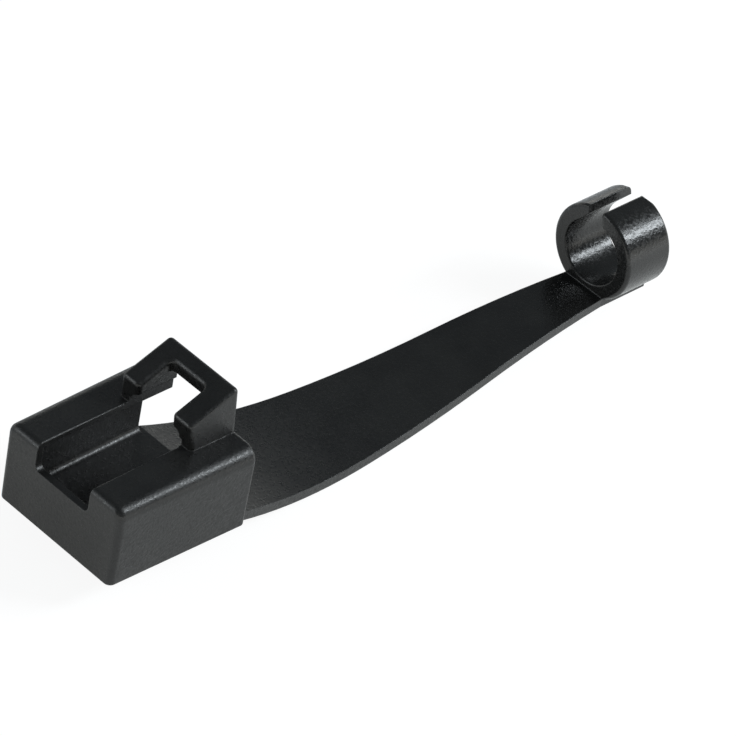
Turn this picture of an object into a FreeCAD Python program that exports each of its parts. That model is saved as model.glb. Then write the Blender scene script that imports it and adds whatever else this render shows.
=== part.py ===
import FreeCAD, Part
import math
import os

# Ethernet dust cap, moulded in one piece: a hood with a raised guard, a strap and an open clip.
# Sizes are in millimetres and degrees. X runs from the closed nose of the hood to the clip, Z is up.

# Cavity of the hood
cavity_width = 11.78
cavity_height = 6.6
cavity_corner = 0.6

# Hood
hood_length = 14.63
side_wall = 1.045
nose_wall = 0.7
floor_wall = 0.8
roof_wall = 0.71
roof_fall = 0.22
side_draft = 1.28
side_lean = 0.9
roof_corner_nose = 1.1
roof_corner_mouth = 1.35
nose_edge = 0.65
rim_edge = 0.4
floor_edge = 0.2

# Window along the roof, which runs out through the nose as a notch
window_width = 6.45
window_lip = 0.16
notch_depth = 2.77
notch_corner = 0.6
channel_height = 0.55

# Guard over the window: a sloped plate on two legs, with a finger gap and a crossbar behind it
guard_length = 5.15
guard_front_height = 2.48
guard_slope = 21.0
guard_front_plate = 1.3
guard_rear_plate = 1.05
guard_front_lean = 0.4
guard_rear_lean = 0.1
guard_edge = 0.42
leg_wall = 1.23
leg_draft = 4.4
tunnel_width = 5.85
tunnel_corner = 0.6
finger_gap = 4.04
finger_gap_offset = 0.12
finger_gap_draft = 0.1
finger_gap_corner = 0.5
prong_corner = 0.5
crossbar_width = 1.6

# Strap: leaves the floor of the hood, sags below it and rises again to the clip
strap_thickness = 0.9
strap_root_inset = 0.7
strap_end_width = 4.6
strap_sag = 2.66
strap_sag_run = 16.6
strap_rise = 2.0
strap_rise_run = 30.75
strap_tail = 0.2

# Clip: a ring with a slanting mouth beside its top, and a left arm that thins towards its tip
clip_bore = 6.16
clip_wall = 1.42
clip_width = 5.4
clip_seat = 0.08
clip_edge = 0.35
clip_bore_edge = 0.15
clip_mouth = 1.44
clip_mouth_turn = 17.0
clip_mouth_offset = 0.1
clip_thinning = 0.6
left_tip_round = 0.5
right_tip_round = 0.8
right_tip_edge = 0.35

# Sizes that follow from those above
hood_half_nose = cavity_width / 2 + side_wall
hood_spread = hood_length * math.tan(math.radians(side_draft))
hood_half_mouth = hood_half_nose + hood_spread
hood_height = floor_wall + cavity_height + roof_wall
guard_rear = hood_length - guard_rear_lean
guard_front = guard_rear - guard_length
guard_front_top = hood_height + guard_front_height
guard_rise = math.tan(math.radians(guard_slope))
guard_rear_top = guard_front_top + guard_length * guard_rise
guard_under_front = guard_front_top - guard_front_plate
guard_under_rear = guard_rear_top - guard_rear_plate
guard_room = guard_under_front - hood_height
guard_half = window_width / 2 + leg_wall
strap_low_x = hood_length + strap_sag_run
strap_end_level = strap_rise - strap_sag
clip_front = strap_low_x + strap_rise_run
clip_outer = clip_bore / 2 + clip_wall
clip_axis = strap_end_level + clip_seat + clip_outer
clip_mouth_left = clip_mouth_offset
clip_mouth_right = clip_mouth_offset - clip_mouth
overall_length = clip_front + clip_width + strap_tail

# How far a cutting shape runs past the face that it opens
past = 1.0
# Largest error of a coordinate when edges are looked up by their place
near = 1e-4


def at(x, y, z):
    return FreeCAD.Vector(x, y, z)


def pushed(outline, direction):
    """Solid made by pushing a flat closed outline along a direction."""
    return Part.Face(outline).extrude(direction)


def closed(points):
    return Part.makePolygon(points + [points[0]])


def quarter_round(start, corner, end):
    """Quarter of a circle that rounds a square corner between two points at equal distance from it."""
    centre = start + end - corner
    middle = centre + (corner - centre) * math.sqrt(0.5)
    return Part.Arc(start, middle, end).toShape()


def rounded_section(x, half_width, low, high, low_radius, high_radius, lean=0):
    """Closed outline across X, widest at its top if the sides lean out; a corner radius of 0 is sharp."""
    tilt = math.radians(lean)
    corners = [
        (1, low + low_radius, low_radius, -90, -lean),
        (1, high - high_radius, high_radius, -lean, 90),
        (-1, high - high_radius, high_radius, 90, 180 + lean),
        (-1, low + low_radius, low_radius, 180 + lean, 270),
    ]
    bends = []
    for side, centre_z, radius, start, end in corners:
        centre_y = side * (half_width - (high - centre_z) * math.tan(tilt) - radius / math.cos(tilt))
        turn = [math.radians(angle) for angle in (start, (start + end) / 2, end)]
        bends.append([at(x, centre_y + radius * math.cos(a), centre_z + radius * math.sin(a)) for a in turn])
    edges = []
    for number, bend in enumerate(bends):
        if corners[number][2] > 0:
            edges.append(Part.Arc(*bend).toShape())
        following = bends[(number + 1) % len(bends)]
        edges.append(Part.makeLine(bend[2], following[0]))
    return Part.Wire(edges)


def edges_at_x(shape, x):
    """Edges of a shape that lie in one plane across X."""
    found = []
    for edge in shape.Edges:
        box = edge.BoundBox
        if abs(box.XMin - x) < near and abs(box.XMax - x) < near:
            found.append(edge)
    return found


def above_floor(edges):
    return [edge for edge in edges if edge.BoundBox.ZMax > near]


def roof_level(x):
    """Height of the roof, which falls a little from the mouth to the nose."""
    return hood_height - roof_fall * (1 - x / hood_length)


def hood_block():
    """Outside of the hood, wider at the mouth and the roof, with its nose, rim and floor edges rounded."""
    nose = rounded_section(0, hood_half_nose, 0, roof_level(0), 0, roof_corner_nose, side_lean)
    mouth = rounded_section(hood_length, hood_half_mouth, 0, hood_height, 0, roof_corner_mouth, side_lean)
    block = Part.makeLoft([nose, mouth], True, True)
    block = block.makeFillet(nose_edge, above_floor(edges_at_x(block, 0)))
    block = block.makeFillet(rim_edge, above_floor(edges_at_x(block, hood_length)))
    floor_outline = [edge for edge in block.Edges if edge.BoundBox.ZMax < near]
    return block.makeFillet(floor_edge, floor_outline)


def hood_cavity():
    """Inside of the hood, open at the mouth, with walls that follow the draft of the outside."""
    draft = math.tan(math.radians(side_draft))
    ends = []
    for x in (nose_wall, hood_length + past):
        half = cavity_width / 2 + x * draft
        high = hood_height - roof_wall
        ends.append(rounded_section(x, half, floor_wall, high, cavity_corner, cavity_corner))
    return Part.makeLoft(ends, True, True)


def roof_window():
    """Slot along the roof, which is a round-cornered notch in the nose and a channel under the guard."""
    low = hood_height - notch_depth
    high = hood_height + channel_height
    section = rounded_section(-past, window_width / 2, low, high, notch_corner, 0)
    return pushed(section, at(hood_length + 2 * past, 0, 0))


def roof_window_lip(side):
    """Takes the sharp corner off one upper edge of the window, as far as the guard."""
    y = side * window_width / 2
    inner = y - side * window_lip
    outer = y + side * window_lip
    z = roof_level(-past)
    low = z - window_lip
    high = z + window_lip
    edge = quarter_round(at(-past, outer, z), at(-past, y, z), at(-past, y, low))
    rest = Part.makePolygon([
        at(-past, y, low),
        at(-past, inner, low),
        at(-past, inner, high),
        at(-past, outer, high),
        at(-past, outer, z),
    ])
    return pushed(Part.Wire([edge] + rest.Edges), at(guard_front + past, 0, roof_level(guard_front) - z))


def guard_side(side):
    """All that lies outside one side of the guard, which leans in and is drafted like the hood."""
    lean = math.tan(math.radians(leg_draft))
    draft = math.tan(math.radians(side_draft))
    low = hood_height - roof_wall - past
    high = guard_rear_top + past
    front = guard_front - past
    rear = hood_length + past
    corners = []
    for x, z in ((front, low), (rear, low), (rear, high), (front, high)):
        half = guard_half - (z - hood_height) * lean - (hood_length - x) * draft
        corners.append(at(x, side * half, z))
    return pushed(closed(corners), at(0, side * hood_half_mouth, 0))


def guard_block():
    """Guard before it is hollowed: a sloped top and four leaning sides, with rounded edges."""
    foot = hood_height - roof_wall
    y = -hood_half_mouth
    profile = closed([
        at(guard_front + guard_front_lean, y, foot),
        at(guard_front, y, guard_front_top),
        at(guard_rear, y, guard_rear_top),
        at(hood_length, y, foot),
    ])
    block = pushed(profile, at(0, 2 * hood_half_mouth, 0)).cut([guard_side(1), guard_side(-1)])
    upper = [edge for edge in block.Edges if edge.BoundBox.ZMax > foot + near]
    return block.makeFillet(guard_edge, upper)


def guard():
    """Guard with its finger gap, and the inner front corners of its two prongs rounded."""
    block = guard_block().cut(guard_finger_gap())
    level = guard_front_top - guard_front_plate / 2
    lean = guard_front_lean * (guard_front_top - level) / (guard_front_top - hood_height + roof_wall)
    corners = []
    for side in (1, -1):
        y = finger_gap_offset + side * finger_gap / 2
        place = Part.Vertex(at(guard_front + lean, y, level))
        corners.append(min(block.Edges, key=lambda edge: edge.distToShape(place)[0]))
    return block.makeFillet(prong_corner, corners)


def guard_tunnel():
    """Way under the plate, between the legs, with its upper corners rounded."""
    start = guard_front - past
    end = hood_length + past
    under_rise = (guard_under_rear - guard_under_front) / guard_length
    under_start = guard_under_front - past * under_rise
    under_end = under_start + (end - start) * under_rise
    y = -tunnel_width / 2
    low = hood_height - roof_wall
    profile = closed([at(start, y, low), at(start, y, under_start), at(end, y, under_end), at(end, y, low)])
    tunnel = pushed(profile, at(0, tunnel_width, 0))
    ridges = [edge for edge in tunnel.Edges if edge.BoundBox.XLength > near and edge.BoundBox.ZLength > near]
    return tunnel.makeFillet(tunnel_corner, ridges)


def guard_finger_gap():
    """Gap in the plate, open to the front, a little left of the middle, which follows the plate's slope."""
    start = guard_front - past
    length = guard_rear - crossbar_width - start
    top = guard_front_top - past * guard_rise
    low = top - guard_front_plate - guard_room / 2
    high = top + past
    draft = math.tan(math.radians(finger_gap_draft))
    half_low = finger_gap / 2 - (top - low) * draft
    half_high = finger_gap / 2 + (high - top) * draft
    section = closed([
        at(start, finger_gap_offset - half_low, low),
        at(start, finger_gap_offset + half_low, low),
        at(start, finger_gap_offset + half_high, high),
        at(start, finger_gap_offset - half_high, high),
    ])
    gap = pushed(section, at(length, 0, length * guard_rise))
    corners = [edge for edge in edges_at_x(gap, start + length) if edge.BoundBox.ZLength > near]
    return gap.makeFillet(finger_gap_corner, corners)


def arc_on_circle(centre_x, centre_z, radius, turns):
    """Arc in the middle plane, through three turns from the lowest point of its circle."""
    points = [at(centre_x + radius * math.sin(t), 0, centre_z - radius * math.cos(t)) for t in turns]
    return Part.Arc(*points).toShape()


def strap_arcs(above):
    """Three tangent arcs of the strap, from its root to the clip, at a height above its underside."""
    sag_radius = (strap_sag_run ** 2 + strap_sag ** 2) / (2 * strap_sag)
    rise_radius = (strap_rise_run ** 2 + strap_rise ** 2) / (4 * strap_rise)
    sag_turn = math.asin(strap_sag_run / sag_radius)
    rise_turn = math.asin(strap_rise_run / 2 / rise_radius)
    sag_turns = (-sag_turn, -sag_turn / 2, 0)
    climb_turns = (0, rise_turn / 2, rise_turn)
    level_turns = (math.pi + rise_turn, math.pi + rise_turn / 2, math.pi)
    return [
        arc_on_circle(strap_low_x, sag_radius - strap_sag, sag_radius - above, sag_turns),
        arc_on_circle(strap_low_x, rise_radius - strap_sag, rise_radius - above, climb_turns),
        arc_on_circle(clip_front, strap_end_level - rise_radius, rise_radius + above, level_turns),
    ]


def strap():
    """Band of even thickness along its three arcs, tapering from its root to the clip."""
    root = hood_length - rim_edge - floor_wall
    under = strap_arcs(0)
    over = strap_arcs(strap_thickness)
    end_top = strap_end_level + strap_thickness
    tail = [
        at(clip_front, 0, strap_end_level),
        at(overall_length, 0, strap_end_level),
        at(overall_length, 0, end_top),
        at(clip_front, 0, end_top),
    ]
    root_top = over[0].Vertexes[0].Point
    grip = [root_top, at(root, 0, root_top.z), at(root, 0, 0), at(hood_length, 0, 0)]
    edges = under + over + Part.makePolygon(tail).Edges + Part.makePolygon(grip).Edges
    band = pushed(Part.Wire(Part.__sortEdges__(edges)), at(0, 2 * hood_half_mouth, 0))
    band.translate(at(0, -hood_half_mouth, 0))
    half_root = hood_half_mouth - strap_root_inset
    half_end = strap_end_width / 2
    low = -strap_sag - past
    left_side = [
        at(root, half_root, low),
        at(hood_length, half_root, low),
        at(clip_front, half_end, low),
        at(overall_length, half_end, low),
    ]
    right_side = [at(point.x, -point.y, point.z) for point in reversed(left_side)]
    high = max(root_top.z, end_top) + past
    plan = pushed(closed(left_side + right_side), at(0, 0, high - low))
    doorstep_size = (strap_sag_run, 2 * hood_half_mouth, strap_thickness)
    doorstep = Part.makeBox(*doorstep_size, at(root, -hood_half_mouth, floor_wall))
    return band.common(plan).cut(doorstep)


def clip_ring():
    """Round bar along X with the mouth cut in it, its right tip rounded first and then both ends."""
    ring = Part.makeCylinder(clip_outer, clip_width, at(0, 0, 0), at(1, 0, 0)).cut(clip_mouth_tool())
    tip = at(clip_width / 2, clip_mouth_right, math.sqrt(clip_outer ** 2 - clip_mouth_right ** 2))
    tip_edge = min(ring.Edges, key=lambda edge: edge.distToShape(Part.Vertex(tip))[0])
    ring = ring.makeFillet(right_tip_edge, [tip_edge])
    ends = edges_at_x(ring, 0) + edges_at_x(ring, clip_width)
    return ring.makeFillet(clip_edge, [edge for edge in ends if edge.BoundBox.ZMin < -clip_bore / 2])


def clip_bore_tool():
    """Bore of the ring, opening out at both ends round the bore's edges."""
    radius = clip_bore / 2
    wide = radius + clip_bore_edge
    rear = clip_width
    end = rear + strap_tail + past
    wall = [at(clip_bore_edge, 0, radius), at(rear - clip_bore_edge, 0, radius)]
    front_bend = quarter_round(at(0, 0, wide), at(0, 0, radius), wall[0])
    rear_bend = quarter_round(wall[1], at(rear, 0, radius), at(rear, 0, wide))
    rest = Part.makePolygon([
        at(rear, 0, wide),
        at(end, 0, wide),
        at(end, 0, 0),
        at(-past, 0, 0),
        at(-past, 0, wide),
        at(0, 0, wide),
    ])
    outline = Part.Wire([front_bend, Part.makeLine(*wall), rear_bend] + rest.Edges)
    return Part.Face(outline).revolve(at(0, 0, 0), at(1, 0, 0), 360)


def clip_mouth_tool():
    """Straight slot through the top of the ring, before it is turned to its slant."""
    slot = at(clip_width + 2 * past, clip_mouth, clip_outer + past)
    return Part.makeBox(slot.x, slot.y, slot.z, at(-past, clip_mouth_right, 0))


def clip_lead_tool():
    """Wedge that flattens the inside of the left arm, from where it leaves the bore to the thinned tip."""
    radius = clip_bore / 2
    tip_radius = radius + clip_thinning
    tip_turn = math.asin(clip_mouth_left / tip_radius)
    leaving_turn = tip_turn + math.acos(radius / tip_radius)
    tip = at(-past, clip_mouth_left, tip_radius * math.cos(tip_turn))
    leaving = at(-past, radius * math.sin(leaving_turn), radius * math.cos(leaving_turn))
    wedge = closed([at(-past, 0, 0), leaving, tip, at(-past, clip_mouth_right, tip.z)])
    return pushed(wedge, at(clip_width + 2 * past, 0, 0))


def clip_tip_tool(mouth_side, arm_side, radius):
    """Rounds the rear corner of an arm's tip, as seen from beside the clip, fading out along the arm."""
    start_y = -arm_side * clip_mouth / 2
    rear = clip_width
    top = clip_outer
    bend_start = at(rear - radius, start_y, top)
    bend_end = at(rear, start_y, top - radius)
    bend = quarter_round(bend_start, at(rear, start_y, top), bend_end)
    rest = Part.makePolygon([
        bend_end,
        at(rear + past, start_y, top - radius),
        at(rear + past, start_y, top + past),
        at(rear - radius, start_y, top + past),
        bend_start,
    ])
    tool = pushed(Part.Wire([bend] + rest.Edges), at(0, arm_side * (clip_outer + clip_mouth), 0))
    tool.rotate(at(0, 0, 0), at(1, 0, 0), -math.degrees(math.asin(mouth_side / clip_outer)))
    return tool


def clip():
    """The clip in its place on the strap: bored, its left arm thinned, and turned to the mouth's slant."""
    left_tip = clip_tip_tool(clip_mouth_left, 1, left_tip_round)
    right_tip = clip_tip_tool(clip_mouth_right, -1, right_tip_round)
    ring = clip_ring().cut([clip_bore_tool(), clip_lead_tool(), left_tip, right_tip])
    ring.rotate(at(0, 0, 0), at(1, 0, 0), -clip_mouth_turn)
    ring.translate(at(clip_front, 0, clip_axis))
    return ring


def dust_cap():
    """The whole moulding, with the origin under the middle of its length at its lowest level."""
    hood = hood_block().fuse(guard())
    openings = [hood_cavity(), roof_window(), roof_window_lip(1), roof_window_lip(-1)]
    hood = hood.cut(openings + [guard_tunnel()])
    whole = hood.fuse([strap(), clip()]).removeSplitter()
    whole.translate(at(-overall_length / 2, 0, strap_sag))
    return whole


cap = dust_cap()
os.makedirs("parts", exist_ok=True)
cap.exportStep("parts/dust_cap.step")
print("solids", len(cap.Solids), "valid", cap.isValid(), "volume", round(cap.Volume, 2))
print("box", cap.BoundBox)
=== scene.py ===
from math import radians

import bpy
import numpy as np
from mathutils import Matrix, Vector

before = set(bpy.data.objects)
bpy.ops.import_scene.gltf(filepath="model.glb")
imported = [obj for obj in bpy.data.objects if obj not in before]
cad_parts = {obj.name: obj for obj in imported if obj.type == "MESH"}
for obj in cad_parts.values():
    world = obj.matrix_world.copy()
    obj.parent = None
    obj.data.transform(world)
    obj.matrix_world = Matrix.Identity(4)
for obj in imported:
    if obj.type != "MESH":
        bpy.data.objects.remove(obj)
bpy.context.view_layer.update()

# The dust cap: hood, guard, strap and clip ring, moulded as one piece in black plastic.
# The mould is spark eroded, which leaves a satin grain that is duller on the hood than on
# the ring, and handling has rubbed the sharp edges a little paler.
grain_size = 0.00028
grain_height = 0.000020
grain_low = 0.30
grain_high = 0.70
speck_size = 0.00008
speck_height = 0.000004
grain_detail = 1.0
flow_size = 0.0035
flow_detail = 3.0
drift_low = 0.35
drift_high = 0.65
pigment_dark = (0.0070, 0.0070, 0.0070, 1.0)
pigment_pale = (0.0120, 0.0120, 0.0115, 1.0)
rubbed_edge = (0.0360, 0.0360, 0.0350, 1.0)
wear_reach = 0.00030
wear_start = 0.99
wear_full = 0.80
patch_low = 0.40
patch_high = 0.60
least_wear = 0.15
most_wear = 0.8
edge_rounding = 0.00012
edge_samples = 6
polish_peaks = 0.13
polish_pits = 0.34
hood_dulling = 0.13
hood_end = -0.018
clip_start = 0.020
plastic_index = 1.46


def add_node(tree, kind, **sockets):
    """One shader node of the given kind, with its named input sockets set."""
    made = tree.nodes.new(kind)
    for name, value in sockets.items():
        made.inputs[name.replace("_", " ")].default_value = value
    return made


def noise_of(tree, place, feature_size, detail):
    """Noise from 0 to 1 whose lumps are about feature_size metres across."""
    made = add_node(tree, "ShaderNodeTexNoise", Scale=1.0 / feature_size, Detail=detail)
    tree.links.new(place, made.inputs["Vector"])
    return made.outputs["Fac"]


def along(tree, place, axis):
    """How far a place lies along one axis: X, Y or Z."""
    made = tree.nodes.new("ShaderNodeSeparateXYZ")
    tree.links.new(place, made.inputs["Vector"])
    return made.outputs[axis]


def span(tree, value, low, high, to_low, to_high):
    """The value carried in a straight line from low..high to to_low..to_high, and held at the ends."""
    made = add_node(tree, "ShaderNodeMapRange", From_Min=low, From_Max=high, To_Min=to_low, To_Max=to_high)
    tree.links.new(value, made.inputs["Value"])
    return made.outputs["Result"]


def joined(tree, operation, first, second):
    """Two values made into one: their sum for ADD, their product for MULTIPLY, the larger for MAXIMUM."""
    made = tree.nodes.new("ShaderNodeMath")
    made.operation = operation
    for socket, value in zip(made.inputs, (first, second)):
        tree.links.new(value, socket)
    return made.outputs["Value"]


def blended(tree, share, first, second):
    """The first colour turning into the second as share goes from 0 to 1; either may be a socket."""
    made = tree.nodes.new("ShaderNodeMix")
    made.data_type = "RGBA"
    tree.links.new(share, made.inputs["Factor"])
    colour_sockets = [socket for socket in made.inputs if socket.type == "RGBA"]
    for socket, colour in zip(colour_sockets, (first, second)):
        if isinstance(colour, bpy.types.NodeSocket):
            tree.links.new(colour, socket)
        else:
            socket.default_value = colour
    return next(socket for socket in made.outputs if socket.type == "RGBA")


def rounded_normal(tree, radius):
    """The surface's normal, turned near an edge as if the edge were rounded to radius."""
    made = add_node(tree, "ShaderNodeBevel", Radius=radius)
    made.samples = edge_samples
    return made.outputs["Normal"]


def raised(tree, pattern, height, normal):
    """The normal, tilted as if the pattern stood up from the surface by height."""
    made = add_node(tree, "ShaderNodeBump", Strength=1.0, Distance=height)
    tree.links.new(pattern, made.inputs["Height"])
    tree.links.new(normal, made.inputs["Normal"])
    return made.outputs["Normal"]


def worn_edge(tree):
    """0 on a face and 1 on a sharp edge.

    The cosine between the face's own normal and the one rounded over wear_reach is carried
    from wear_start..wear_full to 0..1.
    """
    agreement = tree.nodes.new("ShaderNodeVectorMath")
    agreement.operation = "DOT_PRODUCT"
    tree.links.new(rounded_normal(tree, wear_reach), agreement.inputs[0])
    tree.links.new(tree.nodes.new("ShaderNodeNewGeometry").outputs["Normal"], agreement.inputs[1])
    return span(tree, agreement.outputs["Value"], wear_start, wear_full, 0.0, 1.0)


def satin_black():
    """Black plastic with a moulded grain.

    The colour drifts between the two pigments with a broad flow noise, and turns to rubbed_edge
    by the edge's sharpness times a share that follows the same flow. The roughness falls from
    polish_pits to polish_peaks up the grain, plus hood_dulling, which fades to none between
    hood_end and clip_start. The normal is the rounded edge's, raised by the grain and the specks.
    """
    material = bpy.data.materials.new("satin_black")
    material.use_nodes = True
    tree = material.node_tree
    shader = tree.nodes["Principled BSDF"]
    shader.inputs["IOR"].default_value = plastic_index
    place = tree.nodes.new("ShaderNodeTexCoord").outputs["Object"]
    grain = noise_of(tree, place, grain_size, grain_detail)
    specks = noise_of(tree, place, speck_size, grain_detail)
    flow = noise_of(tree, place, flow_size, flow_detail)

    drift = span(tree, flow, drift_low, drift_high, 0.0, 1.0)
    pigment = blended(tree, drift, pigment_dark, pigment_pale)
    patches = span(tree, flow, patch_low, patch_high, least_wear, most_wear)
    wear = joined(tree, "MULTIPLY", worn_edge(tree), patches)
    tree.links.new(blended(tree, wear, pigment, rubbed_edge), shader.inputs["Base Color"])

    polish = span(tree, grain, grain_low, grain_high, polish_pits, polish_peaks)
    dulling = span(tree, along(tree, place, "X"), hood_end, clip_start, hood_dulling, 0.0)
    tree.links.new(joined(tree, "ADD", polish, dulling), shader.inputs["Roughness"])

    lumpy = raised(tree, grain, grain_height, rounded_normal(tree, edge_rounding))
    tree.links.new(raised(tree, specks, speck_height, lumpy), shader.inputs["Normal"])
    return material


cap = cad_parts["dust_cap"]
plastic = satin_black()
for cap_slot in cap.material_slots:
    cap_slot.material = plastic

# The floor: a wide flat sheet of white studio paper that the cap lies on. The eye sees it white,
# with the cap's soft shadow. In the cap's reflections the paper has a painted glow, with painted
# shade that makes it dimmer close by and on the cap's left.
paper_half = 2.0
paper_colour = (0.88, 0.88, 0.88, 1.0)
paper_roughness = 0.9
paper_seen = 0.9
# paper_near to left_share set the painted glow and painted shade of the paper in reflections.
paper_near = 0.36
paper_far = 1.25
near_reach = 0.03
far_reach = 0.15
left_start = 0.014
left_end = 0.022
left_share = 0.05
paper_tint = (1.0, 1.0, 0.95, 1.0)
shade_seen = 0.22
shade_mirrored = 1.0
white = (1.0, 1.0, 1.0, 1.0)


def either(tree, share, first, second):
    """The first shader turning into the second as share goes from 0 to 1."""
    made = tree.nodes.new("ShaderNodeMixShader")
    for socket, source in zip(made.inputs, (share, first, second)):
        tree.links.new(source, socket)
    return made.outputs["Shader"]


def studio_paper():
    """White paper that is plainly lit, with a glow of its own for the eye and for reflections.

    The eye sees a white glow of paper_seen plus shade_seen of the lit paper. Reflections see
    shade_mirrored of the lit paper plus a tinted painted glow, which grows from paper_near to
    paper_far between near_reach and far_reach from under the middle of the cap, as painted shade
    close to the cap, and on the cap's left falls to left_share of that between left_start and
    left_end, as painted shade on that side.
    """
    material = bpy.data.materials.new("studio_paper")
    material.use_nodes = True
    tree = material.node_tree
    lit = tree.nodes["Principled BSDF"]
    lit.inputs["Base Color"].default_value = paper_colour
    lit.inputs["Roughness"].default_value = paper_roughness
    rays = tree.nodes.new("ShaderNodeLightPath").outputs
    to_eye = rays["Is Camera Ray"]
    mirrored = joined(tree, "MAXIMUM", rays["Is Glossy Ray"], rays["Is Transmission Ray"])
    shown = joined(tree, "MAXIMUM", to_eye, mirrored)

    place = tree.nodes.new("ShaderNodeTexCoord").outputs["Object"]
    distance = tree.nodes.new("ShaderNodeVectorMath")
    distance.operation = "LENGTH"
    tree.links.new(place, distance.inputs[0])
    # Painted shade in reflections: the paper's glow is dimmer close to the cap.
    painted_glow_by_distance = span(tree, distance.outputs["Value"], near_reach, far_reach, paper_near, paper_far)
    # Painted shade in reflections: the paper's glow falls away on the cap's left.
    painted_shade_on_left = span(tree, along(tree, place, "Y"), left_start, left_end, 1.0, left_share)
    brightness = add_node(tree, "ShaderNodeMapRange", To_Max=paper_seen)
    tree.links.new(to_eye, brightness.inputs["Value"])
    tree.links.new(joined(tree, "MULTIPLY", painted_glow_by_distance, painted_shade_on_left), brightness.inputs["To Min"])
    glow = tree.nodes.new("ShaderNodeEmission")
    tree.links.new(brightness.outputs["Result"], glow.inputs["Strength"])
    tree.links.new(blended(tree, to_eye, paper_tint, white), glow.inputs["Color"])

    unlit = add_node(tree, "ShaderNodeEmission", Strength=0.0)
    shade = span(tree, to_eye, 0.0, 1.0, shade_mirrored, shade_seen)
    glowing = tree.nodes.new("ShaderNodeAddShader")
    tree.links.new(glow.outputs["Emission"], glowing.inputs[0])
    tree.links.new(either(tree, shade, unlit.outputs["Emission"], lit.outputs["BSDF"]), glowing.inputs[1])
    surface = either(tree, shown, lit.outputs["BSDF"], glowing.outputs["Shader"])
    tree.links.new(surface, tree.nodes["Material Output"].inputs["Surface"])
    return material


paper_corners = paper_half * np.array([(-1, -1, 0), (1, -1, 0), (1, 1, 0), (-1, 1, 0)])
paper_mesh = bpy.data.meshes.new("floor")
paper_mesh.from_pydata(paper_corners, [], [(0, 1, 2, 3)])
paper_mesh.materials.append(studio_paper())
paper = bpy.data.objects.new("floor", paper_mesh)
bpy.context.scene.collection.objects.link(paper)

# The room: white to the eye. For light and reflections it is a bright band along the horizon
# under a dim grey dome, so the upward faces stay black while the upright ones pick up the band.
dome_tint = (0.186, 0.206, 0.218, 1.0)
horizon_tint = (1.40, 1.40, 1.34, 1.0)
horizon_low = 0.12
horizon_high = 0.20
room = bpy.data.worlds.new("room")
bpy.context.scene.world = room
room.use_nodes = True
room_tree = room.node_tree
white_wall = add_node(room_tree, "ShaderNodeBackground", Color=white, Strength=1.0)
grey_dome = room_tree.nodes["Background"]
grey_dome.inputs["Strength"].default_value = 1.0
outward = room_tree.nodes.new("ShaderNodeTexCoord").outputs["Generated"]
climb = span(room_tree, along(room_tree, outward, "Z"), horizon_low, horizon_high, 0.0, 1.0)
room_tree.links.new(blended(room_tree, climb, horizon_tint, dome_tint), grey_dome.inputs["Color"])
room_seen = room_tree.nodes.new("ShaderNodeLightPath").outputs["Is Camera Ray"]
room_light = either(room_tree, room_seen, grey_dome.outputs["Background"], white_wall.outputs["Background"])
room_tree.links.new(room_light, room_tree.nodes["World Output"].inputs["Surface"])

# The lamps: a long soft box behind on the right, turned along the cap, that draws the
# highlight on the roof's right edge and over the ring, a dimmer glow above it, and a
# weak broad box low in front on the left.
lamp_distance = 0.45
lamp_tint = (0.90, 0.96, 1.0)


def soft_box(name, direction, width, height, power, roll):
    """A rectangular lamp, lamp_distance from the origin along direction, that faces the origin.

    It is turned about its own axis by roll degrees.
    """
    lamp = bpy.data.lights.new(name, "AREA")
    lamp.shape = "RECTANGLE"
    lamp.size = width
    lamp.size_y = height
    lamp.energy = power
    lamp.color = lamp_tint
    away = Vector(direction).normalized()
    holder = bpy.data.objects.new(name, lamp)
    turn = away.to_track_quat("Z", "Y").to_matrix().to_4x4() @ Matrix.Rotation(radians(roll), 4, "Z")
    holder.matrix_world = Matrix.Translation(away * lamp_distance) @ turn
    bpy.context.scene.collection.objects.link(holder)


soft_box("key", direction=(0.65, -0.52, 0.55), width=0.28, height=0.08, power=1.25, roll=-34.6)
soft_box("key halo", direction=(0.52, -0.41, 0.75), width=0.14, height=0.14, power=0.20, roll=0.0)
soft_box("fill", direction=(-0.80, 0.50, 0.25), width=0.22, height=0.22, power=0.42, roll=0.0)

# The camera: a long lens looking down on the cap from in front of the nose's right corner,
# rolled a little to one side.
quarter_turn = radians(90.0)
camera_heading = radians(39.3493)
camera_drop = radians(37.7708)
camera_roll = radians(11.3164)
camera_aim = Vector((-0.00790, -0.00742, 0.01445))
camera_distance = 0.42
camera_sensor = 36.0
camera_lens = 252.065
camera_data = bpy.data.cameras.new("camera")
camera_data.sensor_width = camera_sensor
camera_data.lens = camera_lens
camera = bpy.data.objects.new("camera", camera_data)
turned = (
    Matrix.Rotation(camera_heading - quarter_turn, 4, "Z")
    @ Matrix.Rotation(quarter_turn - camera_drop, 4, "X")
    @ Matrix.Rotation(camera_roll, 4, "Z")
)
backwards = turned.to_3x3() @ Vector((0.0, 0.0, 1.0))
camera.matrix_world = Matrix.Translation(camera_aim + backwards * camera_distance) @ turned
bpy.context.scene.collection.objects.link(camera)
bpy.context.scene.camera = camera
bpy.context.scene.view_settings.view_transform = "Standard"
